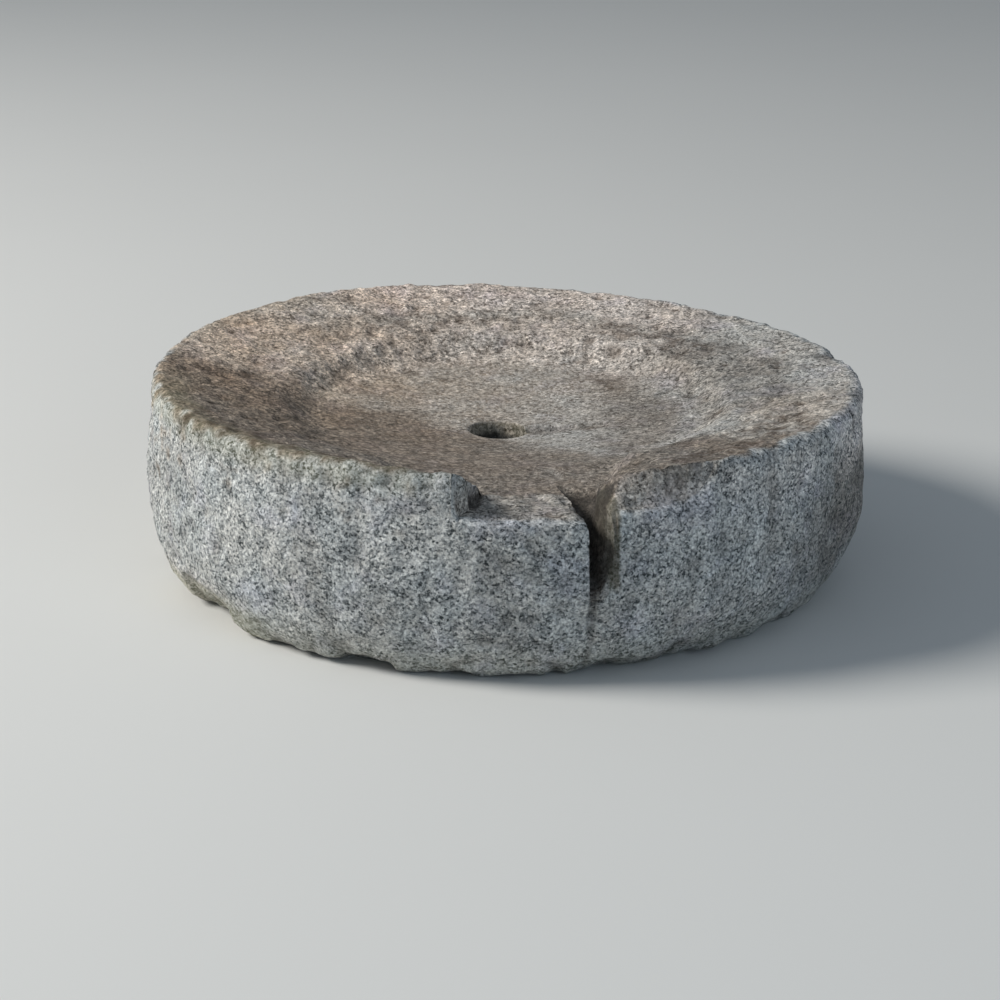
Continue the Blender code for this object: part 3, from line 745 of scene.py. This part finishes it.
def stains_of(form, points, zones, pitted, move):
    """Where earth, dampness with painted shade, pale dust with painted light, brown dirt, weathering film and
    painted shade lie, each from 0 to 1: the highest of several patches of azimuth and radius, or azimuth and
    height."""
    s = form.s
    x, y, z = points.T
    radius, azimuth, slot = zones["radius"], zones["azimuth"], zones["slot_dirt_and_shade"]
    right = 0.5 + 0.5 * np.cos(azimuth - math.radians(-15.0))
    left = ease((75.0 - np.abs(turn_from(azimuth, 165.0))) / 60.0) * ease((radius - 0.07) / 0.10)
    wander = 0.010 * rough(points, 0.05, 71, 2)
    ragged = 0.006 * rough(points, 0.012, 79, 2)
    near = radius + wander
    inside = ease((zones["inset"] - 0.002 - 0.007 * right + ragged) / 0.010) * (z > 0.10)
    inside = inside * (1.0 - 0.9 * zones["end_face"])
    earth = inside * mix(1.0, 0.42, right**1.5) * (1.0 - 0.30 * zones["broken"])
    earth = np.maximum(earth, 0.60 * zones["broken"])
    earth = np.maximum(earth, 0.85 * patch(azimuth, near, -30.0, 34.0, 0.20, 0.295, 0.02) * inside)

    # Darker ground in front of a line across the bed: painted shadow of the left rim over the near-left slope
    # and the bed's front, together with dampness
    line = np.interp(x, *zip(*SHADE_AND_DAMP_LINE))
    damp_and_shade = ease((line + 0.025 - y + 2.2 * wander + ragged) / 0.070 + 0.5)
    damp_and_shade = np.maximum(damp_and_shade, 0.80 * ease((0.165 - radius) / 0.03) * ease((x - 0.045 + wander) / 0.06))
    damp_and_shade = np.maximum(damp_and_shade, 0.52 * patch(azimuth, near, 16.0, 44.0, 0.165, 0.245, 0.03))
    damp_and_shade = np.maximum(damp_and_shade, 0.20 * zones["bed"])
    damp_and_shade = damp_and_shade * inside * mix(1.0, 0.40, zones["broken"])
    # Dirt and painted shade down in the slot, and the darker olive film on its worn edge
    damp_and_shade = np.maximum(damp_and_shade, np.maximum(slot, 0.85 * zones["slot_edge"]))
    # Painted shade on the far right of the wall, which turns away from the light
    damp_and_shade = np.maximum(damp_and_shade, 0.75 * patch(azimuth, z, -10.0, 34.0, -0.02, 0.125, 0.04) * zones["wall"])

    # Paler dust with painted light at the back and on the left step, a paler flake scar low on the wall, and
    # painted highlights on the upper wall right of the slot and at its right edge
    pale = patch(azimuth, near, 88.0, 52.0, 0.236, 0.31, 0.02)
    pale = pale + 0.55 * patch(azimuth, near, 95.0, 75.0, 0.150, 0.225, 0.03)
    pale = np.maximum(pale, 0.55 * patch(azimuth, near, 158.0, 34.0, 0.170, 0.285, 0.03))
    pale = np.maximum(pale, 0.15 * patch(azimuth, near, -2.0, 24.0, 0.255, 0.315, 0.02)) * inside
    low_wall = patch(azimuth, z, -152.0, 16.0, -0.02, 0.040, 0.02)
    pale = np.maximum(pale, 0.55 * low_wall * (zones["inset"] < 0.06))
    pale = np.maximum(pale, 0.35 * patch(azimuth, z, -46.0, 16.0, 0.118, 0.162, 0.02) * zones["wall"])
    right_edge = patch(azimuth, z, -10.0, 24.0, 0.118, 0.175, 0.02)
    pale = np.maximum(pale, right_edge * ease((0.014 - zones["inset"]) / 0.006))

    brown = 0.70 * patch(azimuth, near + ragged, 108.0, 40.0, 0.204, 0.240, 0.02)
    brown = np.maximum(brown, 0.75 * patch(azimuth, near + ragged, 52.0, 26.0, 0.200, 0.240, 0.02))
    brown = np.maximum(brown, 0.95 * patch(azimuth, near, -29.0, 14.0, 0.222, 0.262, 0.015))
    brown = np.maximum(brown, 0.85 * patch(azimuth, near, -44.0, 26.0, 0.243, 0.300, 0.012) * inside)
    brown = np.maximum(brown, patch(azimuth, near, 51.0, 16.0, 0.130, 0.145, 0.006))
    # Brown dirt with painted shade on the near-left slope under the rim
    brown = np.maximum(brown, 0.85 * patch(azimuth, near, -127.0, 38.0, 0.260, 0.310, 0.015) * inside)
    brown = np.maximum(brown, 0.30 * damp_and_shade)
    brown = np.maximum(brown * (z > 0.06), 0.75 * slot)
    brown = np.maximum(brown, np.maximum(pitted * inside * 0.9, 0.9 * zones["crevice"]))

    # The seat right of the socket holds dirt, most of it along its near side
    along = x - s.socket_place[0]
    half = 0.5 * mix(s.seat_width, s.seat_end_width, np.clip(along / s.seat_length, 0.0, 1.0))
    off = y - s.socket_place[1] - 0.017 * along
    on_seat = ease((along - 0.02) / 0.004) * ease((s.seat_length + 0.002 - along) / 0.004) * (z > 0.1)
    in_seat = on_seat * ease((half - np.abs(off)) / 0.003 + 0.5)
    brown = np.maximum(brown, on_seat * ease((0.0050 - np.abs(off + half)) / 0.0030))
    damp_and_shade = np.maximum(damp_and_shade, np.maximum(0.75 * in_seat, 0.65 * zones["socket_wall"]))

    # Painted shade with some dirt down in the slot, fuller in its depths and towards its right cheek; the
    # slot's worn edge is darkened too
    shade_and_dirt = (0.80 + 0.16 * ease(zones["across"] / 0.004)) * slot * ease((zones["inset"] - 0.003) / 0.006)
    shade_and_dirt = np.maximum(shade_and_dirt, 0.85 * zones["slot_deep_shade"])
    shade_and_dirt = np.maximum(shade_and_dirt, 0.60 * zones["slot_edge"])
    # Painted shade with a stain along the groove below the slot
    shade_and_dirt = np.maximum(shade_and_dirt, zones["groove"] * (0.40 + 0.28 * ease((z - 0.045) / 0.02)))
    # Painted shade down the socket, and painted shade with dirt in the crevice at the break's end
    shade_and_dirt = np.maximum(shade_and_dirt, np.maximum(zones["socket"], 0.7 * zones["crevice"]))

    film = 0.8 * patch(azimuth, z, -147.0, 24.0, -0.02, 0.030, 0.02) * (z < 0.1)
    near_rim = patch(azimuth, near, -135.0, 46.0, 0.272, 0.315, 0.02)
    film = np.maximum(film, 0.50 * near_rim * ease((z - 0.146) / 0.016))
    film = np.maximum(film, 0.35 * ease((0.045 - z) / 0.04) * ease((-y) / 0.1))
    film = np.maximum(film, np.maximum(0.50 * zones["slot_edge"], 0.30 * zones["socket_wall"]))
    return {
        "earth": earth,
        "warm": left * inside,
        "damp_and_shade": damp_and_shade,
        "pale": pale,
        "brown": brown,
        "film": film,
        # Painted shade where the surface is pushed in, and along the groove
        "sunken_shade": np.maximum(0.5 - move / 0.0034, 0.86 * zones["groove"]),
        "bed": zones["bed"],
        "shade_and_dirt": shade_and_dirt,
    }


def put_mesh(name, points, quads, triangles):
    """A new object from arrays of points, four-cornered and three-cornered faces."""
    mesh = bpy.data.meshes.new(name)
    mesh.vertices.add(len(points))
    mesh.vertices.foreach_set("co", points.astype(np.float32).ravel())
    corners = np.concatenate([quads.ravel(), triangles.ravel()]).astype(np.int32)
    starts = np.concatenate([4 * np.arange(len(quads)), 4 * len(quads) + 3 * np.arange(len(triangles))])
    mesh.loops.add(len(corners))
    mesh.loops.foreach_set("vertex_index", corners)
    mesh.polygons.add(len(starts))
    mesh.polygons.foreach_set("loop_start", starts.astype(np.int32))
    mesh.update(calc_edges=True)
    mesh.validate()
    made = bpy.data.objects.new(name, mesh)
    bpy.context.collection.objects.link(made)
    return made


def put_attribute(mesh, name, values):
    mesh.attributes.new(name, "FLOAT", "POINT").data.foreach_set("value", values.astype(np.float32))


def linear(hexed):
    """An sRGB hex colour as linear red, green, blue and full alpha."""
    parts = [int(hexed[k : k + 2], 16) / 255.0 for k in (1, 3, 5)]
    return tuple(p / 12.92 if p <= 0.04045 else ((p + 0.055) / 1.055) ** 2.4 for p in parts) + (1.0,)


def add_node(tree, kind, inputs, output=0, **settings):
    """Adds one shader node, sets its properties and inputs, and returns one of its outputs."""
    made = tree.nodes.new("ShaderNode" + kind)
    for name, value in settings.items():
        setattr(made, name, value)
    for key, value in inputs.items():
        if isinstance(value, bpy.types.NodeSocket):
            tree.links.new(value, made.inputs[key])
        else:
            made.inputs[key].default_value = value
    return made.outputs[output]


def blended(tree, share, first, second, how="MIX"):
    inputs = {0: share, 6: first, 7: second}
    return add_node(tree, "Mix", inputs, 2, data_type="RGBA", blend_type=how, clamp_factor=True)


def tinged(tree, share, colour_in, factors):
    """The colour multiplied by three factors, as far as the share says."""
    return blended(tree, share, colour_in, blended(tree, 1.0, colour_in, (*factors, 1.0), "MULTIPLY"))


def worked(tree, how, first, second=0.5):
    return add_node(tree, "Math", {0: first, 1: second}, operation=how, use_clamp=False)


def ranged(tree, value, low, high, to_low=0.0, to_high=1.0):
    return add_node(tree, "MapRange", {0: value, 1: low, 2: high, 3: to_low, 4: to_high}, clamp=True)


def noise_node(tree, place, size, detail=2.0, output=0):
    inputs = {"Vector": place, "Scale": 1.0 / size, "Detail": detail, "Roughness": 0.6}
    return add_node(tree, "TexNoise", inputs, output)


def vector_worked(tree, how, inputs):
    return add_node(tree, "VectorMath", inputs, operation=how)


def grey_of(tree, value, low, high, to_low, to_high):
    """A grey from a number, for multiplying a colour."""
    number = ranged(tree, value, low, high, to_low, to_high)
    return add_node(tree, "CombineColor", {0: number, 1: number, 2: number})


def granite_material(looks):
    """Weathered granite, dressed with a point and worn: grains of feldspar, quartz and black mica about 2 mm
    wide with finer ones of about 1 mm, under dry earth in the hollow, dirt in pits and corners, painted shade
    and painted light."""
    made = bpy.data.materials.new("weathered_granite")
    made.use_nodes = True
    tree = made.node_tree
    tree.nodes.clear()
    place = add_node(tree, "TexCoord", {}, 3)
    stain = {
        name: add_node(tree, "Attribute", {}, 2, attribute_name=name)
        for name in ("earth", "warm", "damp_and_shade", "pale", "brown", "film", "sunken_shade", "bed", "shade_and_dirt")
    }

    # Grains with ragged outlines: the place is pushed about by noise with waves of 2.6 mm and finer
    push = noise_node(tree, place, 0.0026, 2.0, 1)
    push = vector_worked(tree, "ADD", {0: push, 1: (-0.5, -0.5, -0.5)})
    push = vector_worked(tree, "SCALE", {0: push, "Scale": 0.0026})
    ragged = vector_worked(tree, "ADD", {0: place, 1: push})
    pick = 0.0
    for width, weight in ((looks.grain, 0.60), (0.55 * looks.grain, 0.40)):
        cells = add_node(tree, "TexVoronoi", {"Vector": ragged, "Scale": 1.0 / width}, 1)
        number = add_node(tree, "SeparateColor", {0: cells}, 0)
        pick = worked(tree, "ADD", pick, worked(tree, "MULTIPLY", number, weight))
    # Patches about 16 mm wide hold more or fewer dark grains
    patches = noise_node(tree, place, 0.016, 3.0)
    pick = worked(tree, "ADD", pick, worked(tree, "MULTIPLY", worked(tree, "SUBTRACT", patches, 0.5), 0.60))
    ramp = tree.nodes.new("ShaderNodeValToRGB")
    ramp.color_ramp.interpolation = "LINEAR"
    stops = (
        (0.0, looks.mica),
        (0.12, looks.mica),
        (0.29, looks.slate),
        (0.47, looks.quartz),
        (0.76, looks.feldspar),
    )
    while len(ramp.color_ramp.elements) < len(stops):
        ramp.color_ramp.elements.new(1.0)
    for element, (at, hexed) in zip(ramp.color_ramp.elements, stops):
        element.position, element.color = at, linear(hexed)
    tree.links.new(pick, ramp.inputs[0])
    stone = ramp.outputs[0]

    # Fine speckle inside the grains, and slow changes of tone over the stone
    fine = noise_node(tree, place, 0.0022, 3.0)
    stone = blended(tree, 1.0, stone, grey_of(tree, fine, 0.30, 0.70, 0.52, 1.44), "MULTIPLY")
    slow = noise_node(tree, place, 0.070, 3.0)
    stone = blended(tree, 1.0, stone, grey_of(tree, slow, 0.30, 0.70, 0.88, 1.10), "MULTIPLY")
    # Rain has drawn the tone out into upright streaks on the wall
    drawn = vector_worked(tree, "MULTIPLY", {0: place, 1: (1.0, 1.0, 0.22)})
    streaks = noise_node(tree, drawn, 0.025, 4.0)
    stone = blended(tree, 1.0, stone, grey_of(tree, streaks, 0.32, 0.68, 0.88, 1.09), "MULTIPLY")
    cool = ranged(tree, noise_node(tree, place, 0.055, 2.0), 0.40, 0.65, 0.0, 0.8)
    stone = tinged(tree, cool, stone, (0.93, 0.985, 1.03))
    violet = ranged(tree, noise_node(tree, place, 0.041, 3.0), 0.52, 0.70, 0.0, 0.8)
    stone = tinged(tree, violet, stone, (0.98, 0.97, 1.06))
    # Bruises where the point struck show crushed, lighter stone
    bruised = ranged(tree, noise_node(tree, place, 0.018, 1.0), 0.66, 0.74, 0.0, 0.6)
    stone = tinged(tree, bruised, stone, (1.22, 1.24, 1.28))

    # Earth in the hollow tints the grains and closes their contrast
    earth = linear(looks.earth)
    patchy = ranged(tree, noise_node(tree, place, 0.045, 4.0), 0.30, 0.70, 0.65, 1.0)
    share = worked(tree, "MULTIPLY", worked(tree, "MULTIPLY", stain["earth"], patchy), 0.80)
    tinted = tinged(tree, 1.0, stone, (1.16, 0.99, 0.84))
    dusty = blended(tree, ranged(tree, stain["bed"], 0.0, 1.0, 0.30, 0.66), tinted, earth)
    stone = blended(tree, share, stone, dusty)
    stone = tinged(tree, worked(tree, "MULTIPLY", stain["warm"], patchy), stone, (1.08, 1.0, 0.91))
    # Paler dust with painted light, and painted highlights, lighten the colour
    stone = tinged(tree, worked(tree, "MULTIPLY", stain["pale"], 0.85), stone, (1.52, 1.40, 1.36))
    # Dampness and painted shade darken the colour
    stone = tinged(tree, stain["damp_and_shade"], stone, (0.60, 0.555, 0.515))
    # Earthy ground shows its grit: hollows hold dirt and dampness, and the grains that stand out are rubbed
    # clean; it shows on earth and where dampness and painted shade lie
    grit = noise_node(tree, place, 0.0056, 5.0)
    share = worked(tree, "MULTIPLY", stain["earth"], 0.50)
    share = worked(tree, "ADD", share, worked(tree, "MULTIPLY", stain["damp_and_shade"], 0.60))
    share = worked(tree, "MINIMUM", share, 1.0)
    stone = blended(tree, share, stone, grey_of(tree, grit, 0.36, 0.64, 0.55, 1.38), "MULTIPLY")
    # Sand grains in the dust, and marks swept round the stone by its use: their noise changes five times as
    # fast outwards as it does along the sweep
    sand = noise_node(tree, place, 0.0036, 4.0)
    stone = blended(tree, stain["earth"], stone, grey_of(tree, sand, 0.32, 0.68, 0.58, 1.42), "MULTIPLY")
    in_plan = vector_worked(tree, "MULTIPLY", {0: place, 1: (1.0, 1.0, 0.0)})
    far = add_node(tree, "VectorMath", {0: in_plan}, 1, operation="LENGTH")
    outwards = add_node(tree, "CombineXYZ", {2: worked(tree, "MULTIPLY", far, 5.0)})
    swept = vector_worked(tree, "MULTIPLY_ADD", {0: place, 1: (1.0, 1.0, 0.0), 2: outwards})
    swept = noise_node(tree, swept, 0.012, 4.0)
    stone = blended(tree, stain["earth"], stone, grey_of(tree, swept, 0.30, 0.70, 0.86, 1.12), "MULTIPLY")

    # Weathering film, then brown dirt broken up by noise, then painted shade in sunken places and down in the
    # slot, socket, groove and crevice
    stone = blended(tree, worked(tree, "MULTIPLY", stain["film"], 0.40), stone, linear(looks.lichen))
    broken_up = ranged(tree, noise_node(tree, place, 0.013, 6.0), 0.42, 0.62, 0.10, 1.0)
    share = worked(tree, "MULTIPLY", worked(tree, "MULTIPLY", stain["brown"], broken_up), 0.82)
    stone = blended(tree, share, stone, blended(tree, 0.5, linear(looks.brown), stone, "MULTIPLY"))
    # Small dark pocks, 2 to 3 mm across and at most one to each 7.5 mm, where grains fell out
    pocks = add_node(tree, "TexVoronoi", {"Vector": ragged, "Scale": 1.0 / 0.0075}, 0)
    some = ranged(tree, noise_node(tree, place, 0.030, 2.0), 0.44, 0.60, 0.0, 1.0)
    share = worked(tree, "MULTIPLY", ranged(tree, pocks, 0.12, 0.20, 1.0, 0.0), some)
    share = worked(tree, "MULTIPLY", share, ranged(tree, stain["bed"], 0.2, 0.9, 1.0, 0.35))
    share = worked(tree, "MULTIPLY", share, ranged(tree, stain["earth"], 0.0, 0.6, 0.25, 0.85))
    stone = tinged(tree, share, stone, (0.36, 0.32, 0.29))
    # Painted shade where the surface is pushed in
    low = ranged(tree, stain["sunken_shade"], 0.55, 1.0, 0.0, 0.55)
    stone = tinged(tree, low, stone, (0.42, 0.40, 0.38))
    # Painted shade, with some dirt, down in the slot, the socket, the groove and the crevice
    shade = ranged(tree, stain["shade_and_dirt"], 0.2, 1.0, 0.0, 0.85)
    stone = blended(tree, shade, stone, (0.022, 0.019, 0.016, 1.0))

    # Bump: grains that stand proud or have fallen out, and a fine tooth
    height = worked(tree, "ADD", worked(tree, "MULTIPLY", pick, 0.8), worked(tree, "MULTIPLY", fine, 0.9))
    height = worked(tree, "ADD", height, worked(tree, "MULTIPLY", noise_node(tree, place, 0.0060, 3.0), 0.8))
    ruts = worked(tree, "MULTIPLY", swept, worked(tree, "MULTIPLY", stain["earth"], 1.1))
    height = worked(tree, "ADD", height, ruts)
    strength = ranged(tree, stain["bed"], 0.0, 1.0, 0.62, 0.45)
    bump = add_node(tree, "Bump", {"Strength": strength, "Distance": 0.0011, "Height": height})

    shader = tree.nodes.new("ShaderNodeBsdfPrincipled")
    shader.inputs["Specular IOR Level"].default_value = 0.35
    tree.links.new(stone, shader.inputs["Base Color"])
    tree.links.new(ranged(tree, fine, 0.2, 0.8, 0.78, 0.95), shader.inputs["Roughness"])
    tree.links.new(bump, shader.inputs["Normal"])
    result = tree.nodes.new("ShaderNodeOutputMaterial")
    tree.links.new(shader.outputs[0], result.inputs["Surface"])
    return made


class QUERN_OT_stone(bpy.types.Operator):
    """Builds the granite stone, which stands for the CAD solid"""

    bl_idname = "quern.stone"
    bl_label = "Granite stone"

    def execute(self, context):
        form = StoneForm(context.scene.quern_sizes)
        rings = stone_rings(form)
        counts = [len(ring) for ring in rings]
        ends = [(0.0, 0.0, 0.0), (*form.s.socket_place, rings[-1][0, 2] - 0.0005)]
        points = np.concatenate(rings + [np.array(ends)])
        quads, triangles = skin(counts)
        zones = zones_of(form, points)
        normals = normals_of(points, quads, triangles)
        move, pitted = weathered(points, zones)
        under = sum(counts[: len(UNDER_RINGS)])
        flat = np.zeros(len(points), bool)
        flat[:under] = True
        flat[-2] = True
        moved = points + normals * np.where(flat, 0.0, move)[:, None]
        moved[:, 2] = np.maximum(moved[:, 2], 0.0)
        moved[: under + counts[len(UNDER_RINGS)], 2] = 0.0
        moved[-2, 2] = 0.0
        moved[:, :2] += AXIS
        low, high = moved.min(axis=0), moved.max(axis=0)
        box_low, box_high = np.array(CAD_BOX[0]), np.array(CAD_BOX[1])
        moved = box_low + (moved - low) / (high - low) * (box_high - box_low)

        stone = put_mesh("granite_stone", moved, quads, triangles)
        mesh = stone.data
        mesh.shade_smooth()
        mesh.set_sharp_from_angle(angle=math.radians(60.0))
        for name, values in stains_of(form, points, zones, pitted, move).items():
            put_attribute(mesh, name, np.clip(values, 0.0, 1.0))
        mesh.materials.append(granite_material(context.scene.quern_looks))
        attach(stone, "root")
        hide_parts(NODE)
        print("stone: triangles", 2 * len(quads) + len(triangles))
        return {"FINISHED"}


def floor_material(hexed):
    """Smooth matt studio paper, with the faintest mottle."""
    made = bpy.data.materials.new("studio_floor")
    made.use_nodes = True
    tree = made.node_tree
    tree.nodes.clear()
    place = add_node(tree, "TexCoord", {}, 3)
    tone = grey_of(tree, noise_node(tree, place, 0.9, 3.0), 0.3, 0.7, 0.985, 1.0)
    paper = blended(tree, 1.0, linear(hexed), tone, "MULTIPLY")
    shader = tree.nodes.new("ShaderNodeBsdfPrincipled")
    shader.inputs["Roughness"].default_value = 0.85
    shader.inputs["Specular IOR Level"].default_value = 0.2
    tree.links.new(paper, shader.inputs["Base Color"])
    result = tree.nodes.new("ShaderNodeOutputMaterial")
    tree.links.new(shader.outputs[0], result.inputs["Surface"])
    return made


class QUERN_OT_stage(bpy.types.Operator):
    """Builds the camera, the floor and the lights"""

    bl_idname = "quern.stage"
    bl_label = "Camera, floor and lights"

    def execute(self, context):
        scene = context.scene
        studio = scene.quern_studio
        camera = bpy.data.objects.new("camera", bpy.data.cameras.new("camera"))
        camera.data.lens = studio.camera_lens
        camera.data.sensor_width = 36.0
        yaw, pitch, roll = (math.radians(angle) for angle in studio.camera_turn)
        flat = math.cos(pitch)
        ahead = Vector((math.sin(yaw) * flat, math.cos(yaw) * flat, -math.sin(pitch)))
        level = Vector((math.cos(yaw), -math.sin(yaw), 0.0))
        above = level.cross(ahead)
        right = level * math.cos(roll) + above * math.sin(roll)
        top = above * math.cos(roll) - level * math.sin(roll)
        turned = Matrix((right, top, -ahead)).transposed().to_4x4()
        camera.matrix_world = Matrix.Translation(studio.camera_place) @ turned
        scene.collection.objects.link(camera)
        scene.camera = camera

        half = 9.0
        corners = np.array([(-half, -half, 0.0), (half, -half, 0.0), (half, half, 0.0), (-half, half, 0.0)])
        floor = put_mesh("studio_floor", corners, np.array([[0, 1, 2, 3]]), np.zeros((0, 3), int))
        floor.data.materials.append(floor_material(studio.floor_colour))
        floor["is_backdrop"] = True

        def light(name, azimuth, rise, far, size, power, tint):
            made = bpy.data.objects.new(name, bpy.data.lights.new(name, "AREA"))
            made.data.shape, made.data.size, made.data.energy, made.data.color = "DISK", size, power, tint
            azimuth, rise = math.radians(azimuth), math.radians(rise)
            flat = math.cos(rise)
            out = Vector((math.cos(azimuth) * flat, math.sin(azimuth) * flat, math.sin(rise)))
            made.location = Vector((0.0, 0.0, 0.1)) + far * out
            made.rotation_euler = out.to_track_quat("Z", "Y").to_euler()
            scene.collection.objects.link(made)

        light("key", studio.key_azimuth, studio.key_rise, 5.0, 2.0, studio.key_power, (1.0, 0.985, 0.955))
        light("fill", -58.0, 24.0, 3.2, 2.0, 11.5, (0.64, 0.83, 1.05))
        world = bpy.data.worlds.new("studio_air")
        world.use_nodes = True
        world.node_tree.nodes["Background"].inputs[0].default_value = (0.205, 0.236, 0.272, 1.0)
        scene.world = world
        scene.view_settings.view_transform = "Standard"
        return {"FINISHED"}


class QUERN_PT_panel(bpy.types.Panel):
    """Sizes and looks of the quern stone, and buttons to build it"""

    bl_label = "Quern lower stone"
    bl_idname = "QUERN_PT_panel"
    bl_space_type = "VIEW_3D"
    bl_region_type = "UI"
    bl_category = "Quern"

    def draw(self, context):
        for title, group in (
            ("Sizes", context.scene.quern_sizes),
            ("Granite", context.scene.quern_looks),
            ("Studio", context.scene.quern_studio),
        ):
            self.layout.label(text=title)
            column = self.layout.column(align=True)
            for name in group.__annotations__:
                column.prop(group, name)
        self.layout.operator("quern.stone")
        self.layout.operator("quern.stage")


CLASSES = (QuernStoneSizes, GraniteLooks, StudioSettings, QUERN_OT_stone, QUERN_OT_stage, QUERN_PT_panel)


def register():
    for each in CLASSES:
        bpy.utils.register_class(each)
    bpy.types.Scene.quern_sizes = PointerProperty(type=QuernStoneSizes)
    bpy.types.Scene.quern_looks = PointerProperty(type=GraniteLooks)
    bpy.types.Scene.quern_studio = PointerProperty(type=StudioSettings)


def unregister():
    del bpy.types.Scene.quern_sizes
    del bpy.types.Scene.quern_looks
    del bpy.types.Scene.quern_studio
    for each in reversed(CLASSES):
        bpy.utils.unregister_class(each)


def main():
    register()
    bpy.ops.quern.stage()
    bpy.ops.quern.stone()


if __name__ == "__main__":
    main()
